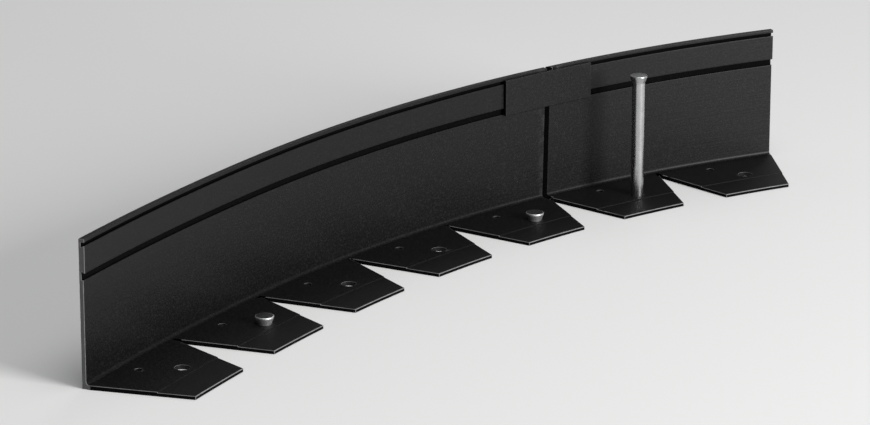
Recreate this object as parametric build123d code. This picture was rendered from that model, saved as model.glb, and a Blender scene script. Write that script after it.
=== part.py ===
from build123d import *
from math import atan2, cos, degrees, sin
import os

os.makedirs("parts", exist_ok=True)

# Aluminium landscape edging: two lengths of one L-shaped extrusion, laid on a gentle
# bend and joined end to end by a sliding connector, with three round spikes in the feet.
# The run is measured along the back of the wall (s), out over the feet (d) and up (z).

# Driving dimensions of the extrusion, in mm
wall_height = 101.6
wall_t = 3.0
foot_depth = 76.2
foot_t = 3.0
foot_lip_t = 2.5
foot_step_from_tip = 25.4
cove_r = 2.2

# The connector rail near the top of the wall: a dovetail between two grooves
rail_proud = 1.2
groove_web_t = 1.5
top_bead = 2.3
upper_groove = 2.1
rail_face = 19.0
lower_groove = 4.4
rail_undercut = 1.4

# The bend, always turning to the feet: three arcs, with their radii at the wall's back
first_bend_r = 1806.0
second_bend_r = 1031.0
third_bend_r = 877.0
first_bend_feet = 2
second_bend_feet = 2
third_bend_feet = 3

# Feet: the base is notched at every pitch, so that the run can be bent
foot_pitch = 104.0
feet_left = 5
feet_right = 2
notch_slit_w = 1.6
notch_slit_start = 6.0
notch_mouth_start = 9.0
notch_back = 25.5
notch_ahead = 13.5

# The joint between the two lengths, and the slider that bridges it
joint_gap = 2.8
joint_offset = -1.5
connector_length = 83.0
connector_plate_t = 2.0
connector_clearance = 0.25
connector_skirt = 0.8
connector_crown = 0.5

# Round spikes, each in the large hole of its foot
spike_d = 9.5
spike_clearance = 0.4
spike_head_d = 13.0
spike_head_t = 1.2
spike_cone_h = 4.4
standing_height = 95.0
driven_height = 8.6
spike_hole_from_centre = 6.0
spike_hole_d_out = 41.0

# A small fixing hole in each foot, nearer the wall
pin_hole_d = 5.0
pin_hole_from_centre = -11.0
pin_hole_d_out = 18.0

# Sizes that follow from the ones above
bends = (
    (first_bend_feet, first_bend_r),
    (second_bend_feet, second_bend_r),
    (third_bend_feet, third_bend_r),
)
run_length = (feet_left + feet_right) * foot_pitch
joint_at = feet_left * foot_pitch + joint_offset
left_end = joint_at - joint_gap / 2
right_start = joint_at + joint_gap / 2
rail_front = wall_t + rail_proud
bead_bottom = wall_height - top_bead
rail_top = bead_bottom - upper_groove
rail_bottom = rail_top - rail_face
groove_shelf = rail_bottom - lower_groove
spike_hole_d = spike_d + 2 * spike_clearance
through = 2 * foot_t
cutter_end = foot_depth + foot_t


def arcs_between(s0, s1):
    """Each arc of the bend that lies between two stations: (start, end, radius)."""
    arcs = []
    start = 0.0
    for feet, radius in bends:
        end = start + feet * foot_pitch
        low = max(start, s0)
        high = min(end, s1)
        if high > low:
            arcs.append((low, high, radius))
        start = end
    if s1 > start:
        arcs.append((max(start, s0), s1, bends[-1][1]))
    return arcs


def station(s):
    """Place and heading of the wall's back at a station: x, y, heading in radians."""
    x, y, heading = 0.0, 0.0, 0.0
    for low, high, radius in arcs_between(0.0, s):
        centre_x = x + radius * sin(heading)
        centre_y = y - radius * cos(heading)
        heading -= (high - low) / radius
        x = centre_x - radius * sin(heading)
        y = centre_y + radius * cos(heading)
    return x, y, heading


def across(s):
    """The plane square to the run at a station, with d to the right and z up."""
    x, y, heading = station(s)
    outward = (sin(heading), -cos(heading), 0)
    backward = (-cos(heading), -sin(heading), 0)
    return Plane(origin=(x, y, 0), x_dir=outward, z_dir=backward)


def on_floor(s):
    """The level plane at a station, with the run along x and the feet towards -y."""
    x, y, heading = station(s)
    return Plane.XY * Pos(x, y, 0) * Rot(0, 0, degrees(heading))


def run_path(s0, s1):
    """The bend between two stations, as tangent arcs along the wall's back."""
    edges = []
    for low, high, radius in arcs_between(s0, s1):
        x, y, heading = station(low)
        turn = degrees((high - low) / radius)
        edges.append(JernArc((x, y), (cos(heading), sin(heading)), radius, -turn))
    return Wire(edges)


def carried(profile, s0, s1):
    """A section profile carried along the bend from one station to another."""
    return sweep(across(s0) * profile, path=run_path(s0, s1))


def slab(d0, d1, z0, z1):
    """A rectangle of the section, between two depths and two heights."""
    return Pos((d0 + d1) / 2, (z0 + z1) / 2) * Rectangle(d1 - d0, z1 - z0)


def rail_profile():
    """The dovetail: wide at its face, narrow at its root, so that a slider hooks on."""
    corners = [
        (0, rail_bottom + rail_undercut),
        (groove_web_t, rail_bottom + rail_undercut),
        (rail_front, rail_bottom),
        (rail_front, rail_top),
        (groove_web_t, rail_top - rail_undercut),
        (0, rail_top - rail_undercut),
    ]
    return make_face(Polyline(*corners, close=True))


def edging_profile():
    """The L-shaped extrusion: stepped foot, wall, grooves, dovetail rail and top bead."""
    foot = slab(0, foot_depth, 0, foot_lip_t)
    foot += slab(0, foot_depth - foot_step_from_tip, 0, foot_t)
    wall = slab(0, wall_t, 0, groove_shelf)
    web = slab(0, groove_web_t, 0, wall_height)
    bead = slab(0, rail_front, bead_bottom, wall_height)
    outline = foot + wall + web + bead + rail_profile()
    inner_corner = outline.vertices().sort_by_distance((wall_t, foot_t))[0]
    return fillet(inner_corner, cove_r)


def connector_profile():
    """A C-shaped slider: a plate over the rail, with a hook in each groove."""
    gap = connector_clearance
    plate_back = rail_front + gap
    plate_front = plate_back + connector_plate_t
    hooks = slab(groove_web_t + gap, plate_front, groove_shelf + gap, bead_bottom - gap)
    room_for_rail = offset(rail_profile(), gap, kind=Kind.INTERSECTION)
    plate_low = groove_shelf - connector_skirt
    plate_high = bead_bottom + connector_crown
    return hooks - room_for_rail + slab(plate_back, plate_front, plate_low, plate_high)


def cut_in_base(s, corners):
    """A cutter through the base at a station, from its outline on the floor."""
    outline = on_floor(s) * make_face(Polyline(*corners, close=True))
    return extrude(outline, amount=through, both=True)


def flared(half_width, full_width, start):
    """Half width of a V beyond the tip of the feet, where its cutter ends."""
    return half_width + (full_width - half_width) * (cutter_end - start) / (foot_depth - start)


def notch(s):
    """One notch of the base: a short slit by the wall that opens into a leaning V."""
    half_slit = notch_slit_w / 2
    corners = [
        (-half_slit, -notch_slit_start),
        (half_slit, -notch_slit_start),
        (half_slit, -notch_mouth_start),
        (flared(half_slit, notch_ahead, notch_mouth_start), -cutter_end),
        (-flared(half_slit, notch_back, notch_mouth_start), -cutter_end),
        (-half_slit, -notch_mouth_start),
    ]
    return cut_in_base(s, corners)


def end_mitre(s):
    """The base's slanted cut at an end of the run, to the same corners as a notch."""
    corners = [
        (0, -notch_slit_start),
        (flared(0, notch_ahead, notch_slit_start), -cutter_end),
        (-flared(0, notch_back, notch_slit_start), -cutter_end),
    ]
    return cut_in_base(s, corners)


def foot_hole(foot, diameter, from_centre, d_out):
    """The cutter of a round hole through one foot."""
    place = on_floor((foot + 0.5) * foot_pitch + from_centre) * Pos(0, -d_out)
    return place * Cylinder(diameter / 2, 2 * through)


def edging_section(s0, s1):
    """One length of edging: its feet are notched and drilled from the same pitch."""
    length = carried(edging_profile(), s0, s1)
    cuts = [notch(i * foot_pitch) for i in range(1, feet_left + feet_right)]
    cuts += [end_mitre(0), end_mitre(run_length)]
    for foot in range(feet_left + feet_right):
        cuts.append(foot_hole(foot, spike_hole_d, spike_hole_from_centre, spike_hole_d_out))
        cuts.append(foot_hole(foot, pin_hole_d, pin_hole_from_centre, pin_hole_d_out))
    return length - cuts


def spike(foot, height):
    """A round spike in a foot's large hole, cut off level with the foot's underside."""
    head_r = spike_head_d / 2
    cone_top = height - spike_head_t
    half_outline = [
        (0, 0),
        (spike_d / 2, 0),
        (spike_d / 2, cone_top - spike_cone_h),
        (head_r, cone_top),
        (head_r, height),
        (0, height),
    ]
    body = revolve(Plane.XZ * make_face(Polyline(*half_outline, close=True)), Axis.Z)
    place = on_floor((foot + 0.5) * foot_pitch + spike_hole_from_centre)
    return place * Pos(0, -spike_hole_d_out) * body


pieces = {
    "edging_section_left": edging_section(0.0, left_end),
    "edging_section_right": edging_section(right_start, run_length),
    "sliding_connector": carried(
        connector_profile(),
        joint_at - connector_length / 2,
        joint_at + connector_length / 2,
    ),
    "spike_driven_left": spike(1, driven_height),
    "spike_driven_right": spike(feet_left - 1, driven_height),
    "spike_standing": spike(feet_left, standing_height),
}

# The run's two ends lie level with each other along x, and the origin is on the floor
# below the middle of the whole
end_x, end_y, _ = station(run_length)
turned = {name: Rot(0, 0, -degrees(atan2(end_y, end_x))) * piece for name, piece in pieces.items()}
box = Compound(list(turned.values())).bounding_box()
to_origin = Pos(-box.center().X, -box.center().Y, -box.min.Z)

for name, piece in turned.items():
    export_step(to_origin * piece, f"parts/{name}.step")
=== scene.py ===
# %% [markdown]
# # Black aluminium landscape edging, on a bend
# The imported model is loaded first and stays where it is: it says how large every piece is
# and where it lies. Each piece that shows is then worked out again as a smooth surface
# with softened edges, in metres, and stands for the plain solid of the same piece.

# %% Load the frame
import math

import bpy
import numpy as np
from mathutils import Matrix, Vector


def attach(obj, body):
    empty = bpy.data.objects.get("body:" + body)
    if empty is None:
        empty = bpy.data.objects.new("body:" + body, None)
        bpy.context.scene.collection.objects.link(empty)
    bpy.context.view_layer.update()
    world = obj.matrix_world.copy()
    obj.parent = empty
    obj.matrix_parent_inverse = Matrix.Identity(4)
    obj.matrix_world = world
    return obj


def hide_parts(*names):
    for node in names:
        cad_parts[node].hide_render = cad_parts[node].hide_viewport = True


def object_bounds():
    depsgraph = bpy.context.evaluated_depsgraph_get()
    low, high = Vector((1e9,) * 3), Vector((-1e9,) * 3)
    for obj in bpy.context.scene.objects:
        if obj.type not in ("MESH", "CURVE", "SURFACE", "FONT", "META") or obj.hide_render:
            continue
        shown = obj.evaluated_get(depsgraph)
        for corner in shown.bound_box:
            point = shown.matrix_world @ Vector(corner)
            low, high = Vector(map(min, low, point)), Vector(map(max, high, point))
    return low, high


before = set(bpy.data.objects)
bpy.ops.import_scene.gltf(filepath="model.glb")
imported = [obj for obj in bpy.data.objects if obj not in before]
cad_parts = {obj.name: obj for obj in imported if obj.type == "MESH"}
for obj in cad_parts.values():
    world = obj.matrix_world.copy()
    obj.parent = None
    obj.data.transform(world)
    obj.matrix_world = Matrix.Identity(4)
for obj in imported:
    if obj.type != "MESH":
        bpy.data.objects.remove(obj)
cad_low, cad_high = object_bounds()
print("box of the solids, in metres:", tuple(cad_low), tuple(cad_high))

# %% [markdown]
# ## The bend
# The edging is a straight extrusion whose base is notched, so it is bent by hand on site.
# Its plan is three arcs that run into each other. Everything else is placed on this line
# by a station along it, a depth out over the feet and a height, just as it would be
# marked out on site.

# %% The line of the run
MM = 0.001
FOOT_PITCH = 104.0
FEET_LEFT = 5
FEET_RIGHT = 2
BENDS = ((2, 1806.0), (2, 1031.0), (3, 877.0))
RUN_LENGTH = (FEET_LEFT + FEET_RIGHT) * FOOT_PITCH


def bend_line(stations):
    """Place and heading of the wall's back at each station, starting at zero along +X.

    On an arc of radius r the heading turns by length / r, and the place moves by
    r times the change of the heading's sine and cosine.
    """
    stations = np.asarray(stations, float)
    x = np.zeros_like(stations)
    y = np.zeros_like(stations)
    heading = np.zeros_like(stations)
    start = 0.0
    start_heading = 0.0
    for feet, radius in BENDS:
        length = feet * FOOT_PITCH
        along = np.clip(stations - start, 0.0, length)
        here = start_heading - along / radius
        x += radius * (math.sin(start_heading) - np.sin(here))
        y += radius * (np.cos(here) - math.cos(start_heading))
        heading -= along / radius
        start += length
        start_heading -= length / radius
    return x, y, heading


end_x, end_y, _ = bend_line(RUN_LENGTH)
CHORD_TURN = -math.atan2(end_y, end_x)
HALF_CHORD = math.hypot(end_x, end_y) / 2


def turned(x, y):
    """The same places with the run's two ends level with each other along x."""
    cosine, sine = math.cos(CHORD_TURN), math.sin(CHORD_TURN)
    return x * cosine - y * sine, x * sine + y * cosine


crest_y = turned(*bend_line(np.linspace(0, RUN_LENGTH, 800))[:2])[1].max()
SHIFT_Y = cad_high.y / MM - crest_y


def on_run(stations, depth, height, ahead=0.0):
    """Points in metres from stations, depths and heights in mm, as arrays that broadcast.

    ahead is a step along the straight heading at the station, for flat pieces such as a
    round hole, which don't follow the bend.
    """
    x, y, heading = bend_line(stations)
    x, y = turned(x, y)
    heading = heading + CHORD_TURN
    px = x - HALF_CHORD + ahead * np.cos(heading) + depth * np.sin(heading)
    py = y + SHIFT_Y + ahead * np.sin(heading) - depth * np.cos(heading)
    pz = np.broadcast_to(height, np.broadcast(px, height).shape)
    px, py, pz = np.broadcast_arrays(px, py, pz)
    return np.stack([px, py, pz], axis=-1) * MM


print("the run starts at", on_run(0.0, 0.0, 0.0), "and ends at", on_run(RUN_LENGTH, 0.0, 0.0))

# %% [markdown]
# ## The section
# An extrusion has the same section all the way along, and its edges are never sharp: the
# die leaves each one with a small radius. So the section is written as its corners, and
# one function rounds every corner with a short arc. Those small arcs are what catches
# the light along the top of the wall and along the rail.

# %% Sizes of the section, in mm
WALL_HEIGHT = 101.6
WALL_T = 3.0
FOOT_DEPTH = 76.2
FOOT_T = 3.0
FOOT_LIP_T = 2.5
FOOT_STEP_FROM_TIP = 25.4
COVE_R = 2.2
RAIL_PROUD = 1.2
GROOVE_WEB_T = 1.5
TOP_BEAD = 2.3
UPPER_GROOVE = 2.1
RAIL_FACE = 19.0
LOWER_GROOVE = 4.4
RAIL_UNDERCUT = 1.4

RAIL_FRONT = WALL_T + RAIL_PROUD
BEAD_BOTTOM = WALL_HEIGHT - TOP_BEAD
RAIL_TOP = BEAD_BOTTOM - UPPER_GROOVE
RAIL_BOTTOM = RAIL_TOP - RAIL_FACE
GROOVE_SHELF = RAIL_BOTTOM - LOWER_GROOVE


# %% Rounded outlines
def rounded(corners, steps=5):
    """A closed outline from (x, y, radius) corners, each replaced by its arc.

    The arc leaves each side at radius * tan(turn / 2) from the corner, and its points
    follow the circle that touches both sides. A radius of 0 keeps the corner.
    """
    table = np.array(corners, float)
    places = table[:, :2]
    to_last = np.roll(places, 1, axis=0) - places
    to_next = np.roll(places, -1, axis=0) - places
    to_last /= np.linalg.norm(to_last, axis=1, keepdims=True)
    to_next /= np.linalg.norm(to_next, axis=1, keepdims=True)
    outline = []
    for place, back, on, radius in zip(places, to_last, to_next, table[:, 2]):
        if radius == 0:
            outline.append(place[None])
            continue
        half_inside = math.acos(np.clip(back @ on, -1, 1)) / 2
        middle = (back + on) / np.linalg.norm(back + on)
        centre = place + middle * radius / math.sin(half_inside)
        first = place + back * radius / math.tan(half_inside) - centre
        last = place + on * radius / math.tan(half_inside) - centre
        share = np.linspace(0, 1, steps + 1)[:, None]
        sweep = math.pi - 2 * half_inside
        arc = np.sin((1 - share) * sweep) * first + np.sin(share * sweep) * last
        outline.append(centre + arc / math.sin(sweep))
    return np.concatenate(outline).round(6)


def filled_in(outline, step=6.0, margin=0.7):
    """The same outline with more points on its long straight sides.

    A side gets one point a margin away from each of its ends, and even points between,
    so that a value held by the points, such as how sharp they are, fades close to its edge.
    """
    filled = []
    for start, end in zip(outline, np.roll(outline, -1, axis=0)):
        length = np.linalg.norm(end - start)
        filled.append(start[None])
        if length > 3 * margin:
            inner = np.linspace(margin, length - margin, max(2, int(round(length / step)) + 1))
            filled.append(start + (end - start) * inner[:, None] / length)
    return np.concatenate(filled)


EDGE_R = 0.4
GROOVE_R = 0.2
TIP_R = 0.5
edging_outline = filled_in(rounded([
    (0, 0, EDGE_R),
    (FOOT_DEPTH, 0, EDGE_R),
    (FOOT_DEPTH, FOOT_LIP_T, TIP_R),
    (FOOT_DEPTH - FOOT_STEP_FROM_TIP, FOOT_LIP_T, GROOVE_R),
    (FOOT_DEPTH - FOOT_STEP_FROM_TIP, FOOT_T, GROOVE_R),
    (WALL_T, FOOT_T, COVE_R),
    (WALL_T, GROOVE_SHELF, EDGE_R),
    (GROOVE_WEB_T, GROOVE_SHELF, GROOVE_R),
    (GROOVE_WEB_T, RAIL_BOTTOM + RAIL_UNDERCUT, GROOVE_R),
    (RAIL_FRONT, RAIL_BOTTOM, EDGE_R),
    (RAIL_FRONT, RAIL_TOP, EDGE_R),
    (GROOVE_WEB_T, RAIL_TOP - RAIL_UNDERCUT, GROOVE_R),
    (GROOVE_WEB_T, BEAD_BOTTOM, GROOVE_R),
    (RAIL_FRONT, BEAD_BOTTOM, EDGE_R),
    (RAIL_FRONT, WALL_HEIGHT, EDGE_R),
    (0, WALL_HEIGHT, EDGE_R),
]))
print("points round the section:", len(edging_outline))


# %% [markdown]
# ## Surfaces
# Every long piece is its outline carried along the run: a grid of stations by outline
# points, closed with a cap at each end. A UV map keeps the station and the distance round
# the outline, so that the fine lines which the die leaves can follow the bend.

# %% Carry an outline along the run
def mesh_of(name, points, faces, uv=None, material_of=None):
    """A mesh from arrays; uv holds one pair for each face corner."""
    mesh = bpy.data.meshes.new(name)
    mesh.from_pydata(points.tolist(), [], faces)
    if uv is not None:
        layer = mesh.uv_layers.new(name="run")
        layer.data.foreach_set("uv", np.asarray(uv, np.float32).ravel())
    if material_of is not None:
        mesh.polygons.foreach_set("material_index", material_of)
    mesh.update()
    return mesh


# Slots: coat, coat darkened as painted shade, sawn end painted paler as light, pale painted
# highlight on cut edges, coat on the feet.
COAT, PAINTED_SHADE, SAWN_LIT, EDGE, FOOT = range(5)
HAIR = 0.1


def side_middles(outline):
    """Depth and height of the middle of each side of the outline."""
    return ((outline + np.roll(outline, -1, axis=0)) / 2).T


def in_groove(outline):
    """True for each side of the outline that lies in one of the two grooves."""
    depth, height = side_middles(outline)
    skin = 0.5
    deep = (depth > skin) & (depth < RAIL_FRONT - skin)
    return deep & (height > GROOVE_SHELF - HAIR) & (height < BEAD_BOTTOM + HAIR)


def at_tip(outline):
    """True for each side of the outline on the rounded upper edge of the feet's tips."""
    depth, height = side_middles(outline)
    rounded_part = (height > FOOT_LIP_T - TIP_R) & (height < FOOT_LIP_T)
    return (depth > FOOT_DEPTH - TIP_R) & rounded_part


def on_foot(outline):
    """True for each side of the outline on top of the feet, clear of the cove."""
    depth, height = side_middles(outline)
    top = (height > FOOT_LIP_T - HAIR) & (height < FOOT_T + HAIR)
    return top & (depth > WALL_T + COVE_R)


def below_tip(outline):
    """True for each side of the outline on the upright face of the feet's tips."""
    depth, height = side_middles(outline)
    return (depth > FOOT_DEPTH - TIP_R) & (height < FOOT_LIP_T - TIP_R)


def carried(name, outline, stations, end_materials, last_lean=0.0):
    """The outline (depth, height) carried along the stations, capped at both ends.

    Point (i, j) of the grid is outline point j at station i. The last end may lean ahead
    by a share of the height.
    """
    around = len(outline)
    rings = len(stations)
    lean = np.where(np.arange(rings) == rings - 1, last_lean, 0.0)
    leaning = stations[:, None] + lean[:, None] * outline[None, :, 1]
    points = on_run(leaning, outline[None, :, 0], outline[None, :, 1]).reshape(-1, 3)
    ring, point = np.meshgrid(np.arange(rings - 1), np.arange(around), indexing="ij")
    after = (point + 1) % around
    corners = ((ring, point), (ring + 1, point), (ring + 1, after), (ring, after))
    quads = np.stack([r * around + p for r, p in corners], axis=-1).reshape(-1, 4)
    girth = np.linalg.norm(np.roll(outline, -1, axis=0) - outline, axis=1)
    distance = np.concatenate([[0], np.cumsum(girth)])
    u = stations[np.stack([ring, ring + 1, ring + 1, ring], axis=-1)] * MM
    v = distance[np.stack([point, point, point + 1, point + 1], axis=-1)] * MM
    side_uv = np.stack([u, v], axis=-1).reshape(-1, 2)
    first_cap = np.arange(around)
    last_cap = first_cap[::-1] + (rings - 1) * around
    cap_uv = np.concatenate([outline, outline[::-1]]) * MM
    faces = quads.tolist() + [first_cap.tolist(), last_cap.tolist()]
    uv = np.concatenate([side_uv, cap_uv])
    # Sides in the grooves and on the upright faces of the feet's tips get the coat darkened as
    # painted shade, and the rounded upper edge of the tips a pale painted highlight.
    material_round = np.where(in_groove(outline) | below_tip(outline), PAINTED_SHADE, COAT)
    material_round[on_foot(outline)] = FOOT
    material_round[at_tip(outline)] = EDGE
    side_material = material_round[point.ravel()]
    material_of = np.concatenate([side_material, end_materials])
    return mesh_of(name, points, faces, uv, material_of)


def stations_between(s0, s1, step=6.0):
    """Evenly spaced stations, about a step apart, with both ends."""
    return np.linspace(s0, s1, int(round((s1 - s0) / step)) + 1)


# %% [markdown]
# ## Cutting the base
# The base is punched, not shaped: slits and leaning V notches at one pitch, and two round
# holes in each foot. Cutters are prisms, and a Boolean modifier takes them away. Faces
# that a notch leaves get the coat darkened as painted shade, because they lie in their own
# shade. The end of the right length is sawn at a slant, and the faces of both lengths at the
# joint get the same painted shade, so that the joint reads as one dark line.

# %% Notches and holes
NOTCH_SLIT_W = 1.6
NOTCH_SLIT_START = 6.0
NOTCH_MOUTH_START = 9.0
NOTCH_BACK = 25.5
NOTCH_AHEAD = 13.5
SPIKE_HOLE_D = 10.3
SPIKE_HOLE_FROM_CENTRE = 6.0
SPIKE_HOLE_OUT = 41.0
PIN_HOLE_D = 5.0
PIN_HOLE_FROM_CENTRE = -11.0
PIN_HOLE_OUT = 18.0
CLEAR = 6.0
CUTTER_END = FOOT_DEPTH + CLEAR
CUTTER_LOW, CUTTER_HIGH = -CLEAR, FOOT_T + CLEAR
JOINT_AT = FEET_LEFT * FOOT_PITCH - 1.5
JOINT_LEFT_END = JOINT_AT - 1.9
JOINT_RIGHT_START = JOINT_AT + 0.3
JOINT_SLANT = 0.8
JOINT_LEAN = 0.025


def flared(half_width, full_width, start):
    """Half width of a V where its cutter ends, beyond the tip of the feet."""
    return half_width + (full_width - half_width) * (CUTTER_END - start) / (FOOT_DEPTH - start)


def notch_outline():
    """A saw slit that opens into a V, as (ahead, depth) corners."""
    half = NOTCH_SLIT_W / 2
    return np.array([
        (-half, NOTCH_SLIT_START),
        (-half, NOTCH_MOUTH_START),
        (-flared(half, NOTCH_BACK, NOTCH_MOUTH_START), CUTTER_END),
        (flared(half, NOTCH_AHEAD, NOTCH_MOUTH_START), CUTTER_END),
        (half, NOTCH_MOUTH_START),
        (half, NOTCH_SLIT_START),
    ])


def mitre_outline():
    """The slanted cut at an end of the run, to the same corners as a notch."""
    return np.array([
        (0, NOTCH_SLIT_START),
        (-flared(0, NOTCH_BACK, NOTCH_SLIT_START), CUTTER_END),
        (flared(0, NOTCH_AHEAD, NOTCH_SLIT_START), CUTTER_END),
    ])


def circle_outline(diameter, ahead, depth, steps=40):
    """A round hole as (ahead, depth) corners."""
    angle = np.linspace(0, 2 * math.pi, steps, endpoint=False)
    radius = diameter / 2
    return np.stack([ahead + radius * np.cos(angle), depth - radius * np.sin(angle)], axis=-1)


def joint_outline():
    """The saw cut at the joint: it slants away from the gap by a share of the depth."""
    behind, before, root = -2.0, RAIL_FRONT + 0.5, NOTCH_MOUTH_START
    return np.array([
        (-CLEAR, behind),
        (-CLEAR, root),
        (JOINT_SLANT * before, root),
        (JOINT_SLANT * before, before),
        (JOINT_SLANT * behind, behind),
    ])


def prism(station, outline, top):
    """Points and faces of a prism over an (ahead, depth) outline at a station.

    A prism is upright, and only one as tall as the wall leans ahead with its height.
    """
    count = len(outline)
    lean = JOINT_LEAN if top > WALL_HEIGHT else 0.0
    low = on_run(station, outline[:, 1], CUTTER_LOW, ahead=outline[:, 0] + lean * CUTTER_LOW)
    high = on_run(station, outline[:, 1], top, ahead=outline[:, 0] + lean * top)
    index = np.arange(count)
    after = (index + 1) % count
    sides = np.stack([index, after, after + count, index + count], axis=-1)
    faces = sides.tolist() + [index[::-1].tolist(), (index + count).tolist()]
    return np.concatenate([low, high]), faces


def base_cuts(first_foot, last_foot):
    """Each cut that the feet from first to last need: station, outline, top, material."""
    cuts = []
    for station in np.arange(first_foot, last_foot + 1) * FOOT_PITCH:
        at_end = station in (0, RUN_LENGTH)
        outline = mitre_outline() if at_end else notch_outline()
        # Notch and mitre faces get the coat darkened as painted shade.
        cuts.append((station, outline, CUTTER_HIGH, PAINTED_SHADE))
    for foot in range(first_foot, last_foot):
        middle = (foot + 0.5) * FOOT_PITCH
        spike_hole = circle_outline(SPIKE_HOLE_D, 0, SPIKE_HOLE_OUT)
        pin_hole = circle_outline(PIN_HOLE_D, 0, PIN_HOLE_OUT, steps=28)
        cuts.append((middle + SPIKE_HOLE_FROM_CENTRE, spike_hole, CUTTER_HIGH, COAT))
        cuts.append((middle + PIN_HOLE_FROM_CENTRE, pin_hole, CUTTER_HIGH, COAT))
    return cuts


def cutters_of(name, cuts):
    """One mesh with a prism for each cut; the prisms don't meet."""
    points, faces, material_of, count = [], [], [], 0
    for station, outline, top, material in cuts:
        more_points, more_faces = prism(station, outline, top)
        points.append(more_points)
        faces += [[corner + count for corner in face] for face in more_faces]
        material_of += [material] * len(more_faces)
        count += len(more_points)
    mesh = mesh_of(name, np.concatenate(points), faces, material_of=material_of)
    for material in edging_materials:
        mesh.materials.append(material)
    return bpy.data.objects.new(name, mesh)


# %% [markdown]
# ## Finishes
# The edging has a satin black coat over aluminium. Up close the coat has a very fine
# grain, faint lines along the extrusion and paler edges, partly worn and partly a painted
# highlight; in grooves and cuts it is painted darker as shade. The spikes are bright plated
# steel, a little streaked, with heads that are darker on top. Effects that both share are
# shader groups with named inputs, built once and placed in each material with its own values.

# %% Shader helpers
def group_of(name, inputs, outputs):
    """An empty shader group with named sockets: (name, kind, default)."""
    group = bpy.data.node_groups.new(name, "ShaderNodeTree")
    for label, kind, default in inputs:
        socket = group.interface.new_socket(label, in_out="INPUT", socket_type=kind)
        if default is not None:
            socket.default_value = default
    for label, kind in outputs:
        group.interface.new_socket(label, in_out="OUTPUT", socket_type=kind)
    return group


def add(tree, kind, **settings):
    """A node with its settings; keys that name an input set that input's value."""
    node = tree.nodes.new(kind)
    for key, value in settings.items():
        if hasattr(node, key):
            setattr(node, key, value)
        else:
            node.inputs[key.replace("_", " ")].default_value = value
    return node


def noise_of(tree, vector, size, detail, roughness):
    """The height of a noise over a vector, with blotches of a given size."""
    scale = add(tree, "ShaderNodeMath", operation="DIVIDE")
    scale.inputs[0].default_value = 1.0
    tree.links.new(size, scale.inputs[1])
    noise = add(tree, "ShaderNodeTexNoise", Detail=detail, Roughness=roughness)
    tree.links.new(vector, noise.inputs["Vector"])
    tree.links.new(scale.outputs[0], noise.inputs["Scale"])
    return noise.outputs["Fac"]


def swung(tree, height, strength):
    """1 + (height - 0.5) * strength, for a value to be multiplied by."""
    centred = add(tree, "ShaderNodeMath", operation="SUBTRACT")
    centred.inputs[1].default_value = 0.5
    tree.links.new(height, centred.inputs[0])
    swing = add(tree, "ShaderNodeMath", operation="MULTIPLY_ADD")
    swing.inputs[2].default_value = 1.0
    tree.links.new(centred.outputs[0], swing.inputs[0])
    tree.links.new(strength, swing.inputs[1])
    return swing.outputs[0]


def product(tree, socket, other):
    """A socket times another socket or a number."""
    times = add(tree, "ShaderNodeMath", operation="MULTIPLY")
    tree.links.new(socket, times.inputs[0])
    if isinstance(other, bpy.types.NodeSocket):
        tree.links.new(other, times.inputs[1])
    else:
        times.inputs[1].default_value = other
    return times.outputs[0]


def ramp(tree, socket, low, high):
    """0 to 1 while the socket goes from low to high; both may be numbers or sockets."""
    node = add(tree, "ShaderNodeMapRange")
    tree.links.new(socket, node.inputs["Value"])
    for label, value in (("From Min", low), ("From Max", high)):
        if isinstance(value, bpy.types.NodeSocket):
            tree.links.new(value, node.inputs[label])
        else:
            node.inputs[label].default_value = value
    return node.outputs["Result"]


FLOAT, VECTOR = "NodeSocketFloat", "NodeSocketVector"


# %% [markdown]
# ### Fine grain
# A powder-smooth coat still breaks up a reflection a little. One noise at about a
# millimetre serves as the height of a bump, as a small change of gloss and as pale specks.

# %% Group: fine grain
def make_grain_group():
    """Noise of a given size: Value is centred on 1 and swings by Strength."""
    tree = group_of(
        "fine grain",
        [("Vector", VECTOR, None), ("Size", FLOAT, 0.0004), ("Strength", FLOAT, 0.1)],
        [("Value", FLOAT), ("Height", FLOAT)],
    )
    start = add(tree, "NodeGroupInput")
    end = add(tree, "NodeGroupOutput")
    height = noise_of(tree, start.outputs["Vector"], start.outputs["Size"], 3.0, 0.6)
    tree.links.new(swung(tree, height, start.outputs["Strength"]), end.inputs["Value"])
    tree.links.new(height, end.inputs["Height"])
    return tree


grain_group = make_grain_group()


# %% [markdown]
# ### Drawn lines
# A die leaves long fine lines, and so does the drawing of round bar. The same group makes
# both: a noise whose first coordinate is squeezed, so that its blotches become streaks.

# %% Group: drawn lines
def make_lines_group():
    """Streaks along the vector's x: Value is centred on 1 and swings by Strength."""
    tree = group_of(
        "drawn lines",
        [("Vector", VECTOR, None), ("Spacing", FLOAT, 0.0006), ("Stretch", FLOAT, 0.01),
         ("Strength", FLOAT, 0.1)],
        [("Value", FLOAT), ("Height", FLOAT)],
    )
    start = add(tree, "NodeGroupInput")
    end = add(tree, "NodeGroupOutput")
    squeeze = add(tree, "ShaderNodeCombineXYZ", Y=1.0, Z=1.0)
    tree.links.new(start.outputs["Stretch"], squeeze.inputs["X"])
    squeezed = add(tree, "ShaderNodeVectorMath", operation="MULTIPLY")
    tree.links.new(start.outputs["Vector"], squeezed.inputs[0])
    tree.links.new(squeeze.outputs[0], squeezed.inputs[1])
    height = noise_of(tree, squeezed.outputs[0], start.outputs["Spacing"], 2.0, 0.5)
    tree.links.new(swung(tree, height, start.outputs["Strength"]), end.inputs["Value"])
    tree.links.new(height, end.inputs["Height"])
    return tree


lines_group = make_lines_group()
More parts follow.
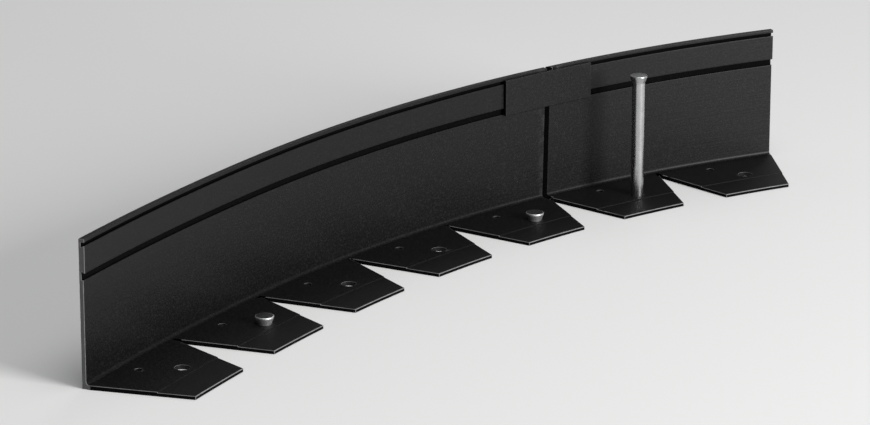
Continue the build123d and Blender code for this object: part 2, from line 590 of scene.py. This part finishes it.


# %% [markdown]
# ### Worn and highlit edges
# Pointiness is high on convex edges and low in corners. Broken up by noise it gives a mask
# for the slightly paler edge of a coat, which is partly worn and partly a painted highlight.

# %% Group: worn and highlit edges
def make_wear_and_highlight_group():
    """Mask of 0 to 1 on convex edges, broken up by noise of a given size."""
    tree = group_of(
        "worn and highlit edges",
        [("Vector", VECTOR, None), ("From", FLOAT, 0.52), ("To", FLOAT, 0.60),
         ("Size", FLOAT, 0.004)],
        [("Mask", FLOAT)],
    )
    start = add(tree, "NodeGroupInput")
    end = add(tree, "NodeGroupOutput")
    geometry = add(tree, "ShaderNodeNewGeometry")
    pointiness = geometry.outputs["Pointiness"]
    edge = ramp(tree, pointiness, start.outputs["From"], start.outputs["To"])
    blotches = noise_of(tree, start.outputs["Vector"], start.outputs["Size"], 4.0, 0.5)
    mask = product(tree, edge, ramp(tree, blotches, 0.35, 0.65))
    tree.links.new(mask, end.inputs["Mask"])
    return tree


wear_and_highlight_group = make_wear_and_highlight_group()


# %% [markdown]
# ### The black coat
# The coat itself is almost black. What shows as dark grey on the wall is the gloss of the
# coat, which mirrors the pale floor in front of it, while the tops of the feet mirror the
# dark wall. So the colour stays very low and the roughness does the work.

# %% Materials
def placed(tree, group, **values):
    """A shader group in a material, with its own values."""
    node = tree.nodes.new("ShaderNodeGroup")
    node.node_tree = group
    for key, value in values.items():
        node.inputs[key.replace("_", " ")].default_value = value
    return node


def new_material(name):
    """An empty node material with its Principled shader: material, tree, shader."""
    material = bpy.data.materials.new(name)
    material.use_nodes = True
    return material, material.node_tree, material.node_tree.nodes["Principled BSDF"]


def mixed(tree, factor, low, high, kind="FLOAT"):
    """Mix node output between two values, of which the low one may be a socket."""
    mix = add(tree, "ShaderNodeMix", data_type=kind)
    chosen = [s for s in mix.inputs if s.enabled]
    tree.links.new(factor, chosen[0])
    if isinstance(low, bpy.types.NodeSocket):
        tree.links.new(low, chosen[1])
    else:
        chosen[1].default_value = low
    chosen[2].default_value = high
    return next(s for s in mix.outputs if s.enabled)


def grey(value, blue=None):
    """A grey as a colour; a cool one has its blue given as well."""
    return (value, value, value if blue is None else blue, 1)


def opaque(colour):
    """Red, green and blue as a colour that a socket takes."""
    return (*colour, 1)


def standing_streaks(tree, spacing, stretch, strength):
    """The lines group over object coordinates that are turned, so its streaks stand upright."""
    coords = add(tree, "ShaderNodeTexCoord")
    turn = add(tree, "ShaderNodeMapping")
    turn.inputs["Rotation"].default_value = (0, math.radians(90), 0)
    tree.links.new(coords.outputs["Object"], turn.inputs["Vector"])
    lines = placed(tree, lines_group, Spacing=spacing, Stretch=stretch, Strength=strength)
    tree.links.new(turn.outputs["Vector"], lines.inputs["Vector"])
    return lines


def grained(tree, size, strength):
    """The grain group over object coordinates."""
    coords = add(tree, "ShaderNodeTexCoord")
    grain = placed(tree, grain_group, Size=size, Strength=strength)
    tree.links.new(coords.outputs["Object"], grain.inputs["Vector"])
    return grain


def bumped(tree, shader, height, strength, distance):
    """A bump from a height on the shader's normal."""
    bump = add(tree, "ShaderNodeBump", Strength=strength, Distance=distance)
    tree.links.new(height, bump.inputs["Height"])
    tree.links.new(bump.outputs["Normal"], shader.inputs["Normal"])


COAT_COLOUR = np.array((0.0020, 0.00195, 0.0021))
SPECK_COLOUR = np.array((0.011, 0.0107, 0.011))
# Paler colour of convex edges: partly a worn coat, partly a painted highlight.
WORN_AND_HIGHLIT_COLOUR = np.array((0.045, 0.044, 0.046))


def make_black_coat(name, roughness, specular, painted_shade_factor=1.0, worn_and_highlit=1.0):
    """Satin black over an extrusion: grain with fine pale specks, die lines, and paler edges
    that are partly worn and partly a painted highlight.

    One factor multiplies the colour of the coat and its specks, to paint shade in grooves and
    cuts, and another that of its paler edges, which are partly worn and partly a painted
    highlight.
    """
    material, tree, shader = new_material(name)
    grain = grained(tree, 0.0013, 0.5)
    run = add(tree, "ShaderNodeUVMap", uv_map="run")
    lines = placed(tree, lines_group, Spacing=0.0016, Stretch=0.012, Strength=0.16)
    tree.links.new(run.outputs[0], lines.inputs["Vector"])
    coords = add(tree, "ShaderNodeTexCoord")
    wear_and_highlight = placed(tree, wear_and_highlight_group)
    tree.links.new(coords.outputs["Object"], wear_and_highlight.inputs["Vector"])
    coat, speck = opaque(COAT_COLOUR * painted_shade_factor), opaque(SPECK_COLOUR * painted_shade_factor)
    specks = ramp(tree, grain.outputs["Height"], 0.5, 0.74)
    speckled = mixed(tree, specks, coat, speck, "RGBA")
    # Convex edges are mixed towards the paler colour, partly worn coat and partly a painted
    # highlight.
    worn_and_highlit_tint = opaque(WORN_AND_HIGHLIT_COLOUR * worn_and_highlit)
    colour = mixed(tree, wear_and_highlight.outputs["Mask"], speckled, worn_and_highlit_tint, "RGBA")
    tree.links.new(colour, shader.inputs["Base Color"])
    gloss = product(tree, grain.outputs["Value"], lines.outputs["Value"])
    tree.links.new(product(tree, gloss, roughness), shader.inputs["Roughness"])
    heights = add(tree, "ShaderNodeMath", operation="ADD")
    tree.links.new(grain.outputs["Height"], heights.inputs[0])
    tree.links.new(lines.outputs["Height"], heights.inputs[1])
    bumped(tree, shader, heights.outputs[0], 0.5, 0.00012)
    shader.inputs["Specular IOR Level"].default_value = specular
    return material


def make_painted_edge_highlight():
    """The coat along a cut edge, painted pale as a highlight, partly standing for a thin, worn
    coat.
    """
    material, tree, shader = new_material("coat painted pale as highlight on cut edges")
    patches = grained(tree, 0.005, 0.4)
    colour = mixed(tree, patches.outputs["Height"], grey(0.05, 0.051), grey(0.24), "RGBA")
    tree.links.new(colour, shader.inputs["Base Color"])
    tree.links.new(product(tree, patches.outputs["Value"], 0.45), shader.inputs["Roughness"])
    shader.inputs["Specular IOR Level"].default_value = 0.5
    return material


def make_lit_sawn_end():
    """The sawn end of a length: the coat over fine upright saw lines, painted paler as the light
    that falls on this end.
    """
    material, tree, shader = new_material("sawn end")
    lines = standing_streaks(tree, 0.0005, 0.06, 0.5)
    colour = mixed(tree, lines.outputs["Height"], grey(0.035, 0.036), grey(0.11), "RGBA")
    tree.links.new(colour, shader.inputs["Base Color"])
    tree.links.new(product(tree, lines.outputs["Value"], 0.5), shader.inputs["Roughness"])
    shader.inputs["Specular IOR Level"].default_value = 0.5
    bumped(tree, shader, lines.outputs["Height"], 0.4, 0.00005)
    return material


def make_plated_steel(name, roughness, dull, bright):
    """Zinc on round bar, with upright drawing lines, between a dull and a bright grey."""
    material, tree, shader = new_material(name)
    lines = standing_streaks(tree, 0.0007, 0.03, 0.5)
    patches = grained(tree, 0.006, 0.6)
    cool_grey = grey(dull, dull * 1.02)
    colour = mixed(tree, patches.outputs["Height"], cool_grey, grey(bright), "RGBA")
    tree.links.new(colour, shader.inputs["Base Color"])
    shader.inputs["Metallic"].default_value = 1.0
    tree.links.new(product(tree, lines.outputs["Value"], roughness), shader.inputs["Roughness"])
    bumped(tree, shader, lines.outputs["Height"], 0.3, 0.00004)
    return material


black_coat = make_black_coat("satin black coat", 0.44, 0.235)
# The coat at a third of its colour, with almost no gloss, is painted shade in the grooves, cuts,
# joint and faces below the tips.
painted_shade_coat = make_black_coat("coat darkened as painted shade in grooves and cuts", 0.8, 0.05, 0.35, 0.03)
foot_coat = make_black_coat("dusty coat on the feet", 0.58, 0.15)
# The outer sawn ends are the same coat, painted paler to stand for the light they catch.
lit_sawn_end = make_lit_sawn_end()
# Pale coat on the bevelled cut edges and the tips' rounded edges: a painted highlight, partly
# standing for a thin, worn coat.
painted_edge_highlight = make_painted_edge_highlight()
plated_steel = make_plated_steel("plated steel", 0.27, 0.36, 0.62)
dull_steel = make_plated_steel("dull plated steel", 0.5, 0.5, 0.85)
# The flat top of each spike head is a darker grey than its shank.
darker_head_top = make_plated_steel("spike head, darker on top", 0.42, 0.07, 0.22)
edging_materials = (black_coat, painted_shade_coat, lit_sawn_end, painted_edge_highlight, foot_coat)
print("materials:", [m.name for m in edging_materials + (plated_steel, dull_steel, darker_head_top)])


# %% [markdown]
# ## The pieces
# Each piece gets its materials, smooth shading with its real edges kept, and a hair of
# bevel on the upper edges that the cutters left. The bevel's faces get a pale coat, partly
# a thin, worn coat and partly a painted highlight, so each foot is outlined by a fine pale line.

# %% Finish a piece
BEVEL = 0.3
RIM_SHARE = 0.45
NEAR = 6.0
CUT_ANGLE = 50
SHADING_ANGLE = 32


def mark_cut_edges(mesh):
    """Bevel weights for the edges sharper than the cut angle.

    Edges at the joint and on the underside get none, and the rims of holes get less.
    """
    mesh.set_sharp_from_angle(angle=math.radians(CUT_ANGLE))
    sharp = np.zeros(len(mesh.edges), bool)
    mesh.attributes["sharp_edge"].data.foreach_get("value", sharp)
    ends = np.zeros(len(mesh.edges) * 2, np.int32)
    mesh.edges.foreach_get("vertices", ends)
    places = np.zeros(len(mesh.vertices) * 3, np.float32)
    mesh.vertices.foreach_get("co", places)
    places = places.reshape(-1, 3)
    joint = on_run(JOINT_AT, 2.0, 0.0)[:2]
    at_joint = np.linalg.norm(places[:, :2] - joint, axis=1) < NEAR * MM
    middles = (np.arange(FEET_LEFT + FEET_RIGHT) + 0.5) * FOOT_PITCH
    spike_holes = on_run(middles + SPIKE_HOLE_FROM_CENTRE, SPIKE_HOLE_OUT, 0.0)[:, :2]
    pin_holes = on_run(middles + PIN_HOLE_FROM_CENTRE, PIN_HOLE_OUT, 0.0)[:, :2]
    to_holes = places[:, None, :2] - np.concatenate([spike_holes, pin_holes])
    at_hole = np.linalg.norm(to_holes, axis=2).min(axis=1) < NEAR * MM
    skipped = at_joint | (places[:, 2] < HAIR * MM)
    ends = ends.reshape(-1, 2)
    soft = np.where(at_hole[ends].all(axis=1), RIM_SHARE, 1.0)
    soft[~sharp | skipped[ends].all(axis=1)] = 0.0
    weight = mesh.attributes.new("bevel_weight_edge", "FLOAT", "EDGE")
    weight.data.foreach_set("value", soft.astype(np.float32))


def finished(piece, materials, node, bevelled=False, highlight_material=-1):
    """Materials, shading and bevel, then the piece rides on the frame for its node."""
    mesh = piece.data
    if len(mesh.materials) == 0:
        for material in materials:
            mesh.materials.append(material)
    mesh.polygons.foreach_set("use_smooth", [True] * len(mesh.polygons))
    if bevelled:
        mark_cut_edges(mesh)
        edge = piece.modifiers.new("cut edges", "BEVEL")
        edge.width = BEVEL * MM
        edge.segments = 2
        edge.limit_method = "WEIGHT"
        edge.use_clamp_overlap = False
        edge.harden_normals = True
        edge.material = highlight_material
    mesh.set_sharp_from_angle(angle=math.radians(SHADING_ANGLE))
    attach(piece, "root")
    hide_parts(node)
    print(piece.name, "faces", len(mesh.polygons))


def linked(name, mesh):
    """A new object in the scene with this mesh."""
    piece = bpy.data.objects.new(name, mesh)
    bpy.context.scene.collection.objects.link(piece)
    return piece


def cut_piece(piece, cutters):
    """Takes the cutters away from the piece and keeps the result as its mesh."""
    bpy.context.scene.collection.objects.link(cutters)
    cut = piece.modifiers.new("punch", "BOOLEAN")
    cut.operation = "DIFFERENCE"
    cut.solver = "EXACT"
    cut.object = cutters
    bpy.context.view_layer.update()
    evaluated = piece.evaluated_get(bpy.context.evaluated_depsgraph_get())
    solved = bpy.data.meshes.new_from_object(evaluated)
    piece.modifiers.clear()
    piece.data = solved
    bpy.data.objects.remove(cutters)


# %% The two lengths of edging
def edging_length(name, node, s0, s1, first_foot, last_foot, end_materials, last_lean=0.0):
    """One length of edging: carried, punched and finished."""
    mesh = carried(name, edging_outline, stations_between(s0, s1), end_materials, last_lean)
    for material in edging_materials:
        mesh.materials.append(material)
    piece = linked(name, mesh)
    if first_foot == FEET_LEFT:
        joint_cut = (JOINT_RIGHT_START, joint_outline(), WALL_HEIGHT + CLEAR, PAINTED_SHADE)
        cut_piece(piece, cutters_of(name + "_saw", [joint_cut]))
    cut_piece(piece, cutters_of(name + "_punch", base_cuts(first_foot, last_foot)))
    finished(
        piece, edging_materials, node,
        bevelled=True, highlight_material=EDGE,
    )


# At the joint each length's end gets the coat darkened as painted shade; the outer ends are
# painted paler as light.
edging_length(
    "left_length", "edging_section_left",
    0.0, JOINT_LEFT_END, 0, FEET_LEFT, (SAWN_LIT, PAINTED_SHADE), JOINT_LEAN,
)
edging_length(
    "right_length", "edging_section_right",
    JOINT_RIGHT_START, RUN_LENGTH, FEET_LEFT, FEET_LEFT + FEET_RIGHT, (PAINTED_SHADE, SAWN_LIT),
)

# %% [markdown]
# ## The sliding connector
# A short C-shaped extrusion that hooks behind the rail of both lengths and hides the
# joint's top. Its front face stands just proud of the rail, so it shows mainly by the
# dark line at its end and because the lower groove stops being visible. Its ends and its
# hooks get the coat darkened as painted shade, which deepens that line.

# %% The connector
CONNECTOR_LENGTH = 83.0
CONNECTOR_PLATE_T = 2.0
CONNECTOR_GAP = 0.25
CONNECTOR_SKIRT = 0.8
CONNECTOR_CROWN = 0.5

plate_back = RAIL_FRONT + CONNECTOR_GAP
plate_front = plate_back + CONNECTOR_PLATE_T
hook_back = GROOVE_WEB_T + CONNECTOR_GAP
undercut_slope = RAIL_UNDERCUT / (RAIL_FRONT - GROOVE_WEB_T)
slant = CONNECTOR_GAP * math.hypot(1, undercut_slope)
reach = plate_back - hook_back
hook_low = RAIL_BOTTOM - slant - undercut_slope * CONNECTOR_GAP
hook_high = RAIL_TOP + slant + undercut_slope * CONNECTOR_GAP
connector_outline = rounded([
    (plate_back, GROOVE_SHELF - CONNECTOR_SKIRT, EDGE_R),
    (plate_front, GROOVE_SHELF - CONNECTOR_SKIRT, EDGE_R),
    (plate_front, BEAD_BOTTOM + CONNECTOR_CROWN, EDGE_R),
    (plate_back, BEAD_BOTTOM + CONNECTOR_CROWN, EDGE_R),
    (plate_back, BEAD_BOTTOM - CONNECTOR_GAP, 0),
    (hook_back, BEAD_BOTTOM - CONNECTOR_GAP, GROOVE_R),
    (hook_back, hook_high - undercut_slope * reach, GROOVE_R),
    (plate_back, hook_high, 0),
    (plate_back, hook_low, 0),
    (hook_back, hook_low + undercut_slope * reach, GROOVE_R),
    (hook_back, GROOVE_SHELF + CONNECTOR_GAP, GROOVE_R),
    (plate_back, GROOVE_SHELF + CONNECTOR_GAP, 0),
])
half_length = CONNECTOR_LENGTH / 2
connector_stations = stations_between(JOINT_AT - half_length, JOINT_AT + half_length, 4.0)
# Both ends of the connector get the coat darkened as painted shade.
connector_mesh = carried(
    "rail_slider", filled_in(connector_outline), connector_stations, (PAINTED_SHADE, PAINTED_SHADE),
)
connector = linked("rail_slider", connector_mesh)
finished(
    connector, edging_materials, "sliding_connector", bevelled=True,
)

# %% [markdown]
# ## The spikes
# A spike is round all the way, so its half outline is spun round its own axis. The head is
# a thin disc on a short cone, with a soft edge where the hammer has met it. Two spikes are
# driven until the cone meets the foot, and one still stands.

# %% Spikes
SPIKE_D = 9.5
SPIKE_HEAD_D = 13.0
SPIKE_HEAD_T = 1.2
SPIKE_CONE_H = 4.4
STANDING_HEIGHT = 95.0
DRIVEN_HEIGHT = 8.6


def spun(name, half_outline, station, depth, steps=56):
    """A surface of revolution: outline point (radius, height) at each of the angles.

    The first and last points lie on the axis and close the ends with fans.
    """
    angle = np.linspace(0, 2 * math.pi, steps, endpoint=False)
    radius = half_outline[1:-1, 0][:, None]
    height = half_outline[1:-1, 1][:, None]
    out = depth - radius * np.sin(angle)
    ring_points = on_run(station, out, height, ahead=radius * np.cos(angle))
    foot_point = on_run(station, depth, half_outline[0, 1])[None]
    head_point = on_run(station, depth, half_outline[-1, 1])[None]
    rings = len(radius)
    points = np.concatenate([ring_points.reshape(-1, 3), foot_point, head_point])
    ring, turn = np.meshgrid(np.arange(rings - 1), np.arange(steps), indexing="ij")
    after = (turn + 1) % steps
    quads = np.stack([
        ring * steps + turn, ring * steps + after,
        (ring + 1) * steps + after, (ring + 1) * steps + turn,
    ], axis=-1).reshape(-1, 4)
    index = np.arange(steps)
    following = (index + 1) % steps
    low_fan = np.stack([following, index, np.full(steps, rings * steps)], axis=-1)
    top = (rings - 1) * steps
    high_fan = np.stack([index + top, following + top, np.full(steps, rings * steps + 1)], axis=-1)
    faces = quads.tolist() + low_fan.tolist() + high_fan.tolist()
    material_of = np.repeat((0, 1), (len(faces) - steps, steps))
    return mesh_of(name, points, faces, material_of=material_of)


def spike(name, node, foot, height, steel):
    """A round spike with its head at a height, cut off level with the feet's underside."""
    cone_top = height - SPIKE_HEAD_T
    corners = rounded([
        (-1, 0, 0),
        (SPIKE_D / 2, 0, 0),
        (SPIKE_D / 2, cone_top - SPIKE_CONE_H, 1.0),
        (SPIKE_HEAD_D / 2, cone_top, 0.3),
        (SPIKE_HEAD_D / 2, height, 0.5),
        (-1, height, 0),
    ])
    half_outline = np.concatenate([[[0, 0]], corners[corners[:, 0] > 0], [[0, height]]])
    station = (foot + 0.5) * FOOT_PITCH + SPIKE_HOLE_FROM_CENTRE
    piece = linked(name, spun(name, half_outline, station, SPIKE_HOLE_OUT))
    finished(piece, (steel, darker_head_top), node)


spike("left_driven_spike", "spike_driven_left", 1, DRIVEN_HEIGHT, dull_steel)
spike("right_driven_spike", "spike_driven_right", FEET_LEFT - 1, DRIVEN_HEIGHT, dull_steel)
spike("tall_spike", "spike_standing", FEET_LEFT, STANDING_HEIGHT, plated_steel)

# %% [markdown]
# ## Floor, light and camera
# The floor is plain and pale, and it does most of the lighting: the wall mirrors it softly.
# A broad lamp hangs above the front of the run. A low one in front brightens the far end
# of the wall, and a weak one behind brings out the tips of the feet. The camera stands
# where the photograph was taken from, about 2.5 m from the near end, with a longer lens.

# %% Floor
FLOOR_SIZE = 12.0
floor_mesh = mesh_of(
    "floor",
    np.array([(x, y, 0.0) for x, y in ((-1, -1), (1, -1), (1, 1), (-1, 1))]) * FLOOR_SIZE,
    [[0, 1, 2, 3]],
)
floor = linked("floor", floor_mesh)
floor_material, floor_tree, floor_shader = new_material("pale floor")
floor_shader.inputs["Base Color"].default_value = (0.78, 0.78, 0.77, 1)
floor_shader.inputs["Roughness"].default_value = 0.9
floor_shader.inputs["Specular IOR Level"].default_value = 0.1
floor_mesh.materials.append(floor_material)


# %% Lamps and world
def softbox(name, place, aim, width, power):
    """A square area lamp at a place, turned towards its aim."""
    lamp = bpy.data.lights.new(name, "AREA")
    lamp.shape = "SQUARE"
    lamp.size = width
    lamp.energy = power
    holder = bpy.data.objects.new(name, lamp)
    holder.location = place
    holder.rotation_euler = (Vector(aim) - Vector(place)).to_track_quat("-Z", "Y").to_euler()
    holder.visible_camera = False
    bpy.context.scene.collection.objects.link(holder)


softbox("top softbox", (-0.3, -1.0, 3.4), (0.0, -0.4, 0), 2.4, 52.0)
softbox("low softbox", (0.35, -3.3, 1.0), (0.35, 0, 0.05), 1.5, 160.0)
softbox("back softbox", (1.9, 1.0, 1.8), (0.0, 0.0, 0), 1.0, 8.5)

world = bpy.data.worlds.new("studio")
bpy.context.scene.world = world
world.use_nodes = True
world.node_tree.nodes["Background"].inputs["Color"].default_value = (0.9, 0.92, 0.95, 1)
world.node_tree.nodes["Background"].inputs["Strength"].default_value = 0.2
bpy.context.scene.view_settings.view_transform = "Standard"

# %% Camera
CAMERA_PLACE = Vector((-1.9879, -1.8071, 0.8777))
CAMERA_AIM = Vector((-0.011, 0.012, 0.0375))
PHOTO_LENS = 47.3
CLOSER = 3.5

camera_data = bpy.data.cameras.new("camera")
camera_data.sensor_width = 36.0
camera_data.lens = PHOTO_LENS * CLOSER
camera_data.clip_start = 0.05
camera_data.clip_end = 100.0
camera = bpy.data.objects.new("camera", camera_data)
camera.location = CAMERA_PLACE
camera.rotation_euler = (CAMERA_AIM - CAMERA_PLACE).to_track_quat("-Z", "Y").to_euler()
bpy.context.scene.collection.objects.link(camera)
bpy.context.scene.camera = camera
